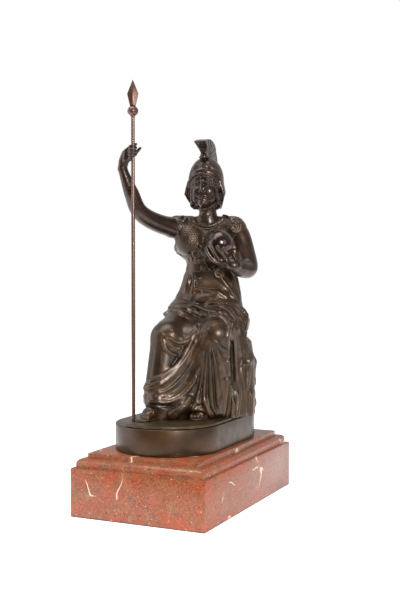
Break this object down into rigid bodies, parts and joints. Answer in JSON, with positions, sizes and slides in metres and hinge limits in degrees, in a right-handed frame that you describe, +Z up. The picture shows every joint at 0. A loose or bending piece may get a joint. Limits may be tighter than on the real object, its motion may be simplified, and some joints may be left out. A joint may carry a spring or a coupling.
{
  "type": "seated goddess statue",
  "caption": "Cast bronze figure of a seated helmeted goddess with a tall spear and an orb, on a rounded bronze base and a stepped marble plinth; stands on a shelf or table.",
  "frame": {"origin": "centre of the marble plinth's underside", "axes": "+Z up, -Y to the plinth's short front side, +X to the right seen from that side"},
  "size_m": [0.144, 0.226, 0.4297],
  "materials": {
    "marble": "polished salmon-red marble with dark speckles and pale veins",
    "base_bronze": "brown patinated bronze, waxed",
    "figure_bronze": "dark brown patinated cast bronze, waxed, greener in the folds",
    "spear_bronze": "red-brown patinated bronze rod",
    "orb_bronze": "polished dark bronze"
  },
  "bodies": {
    "root": {"marble_plinth": "marble", "bronze_base": "base_bronze", "figure": "figure_bronze", "spear": "spear_bronze", "orb": "orb_bronze"}
  },
  "joints": []
}
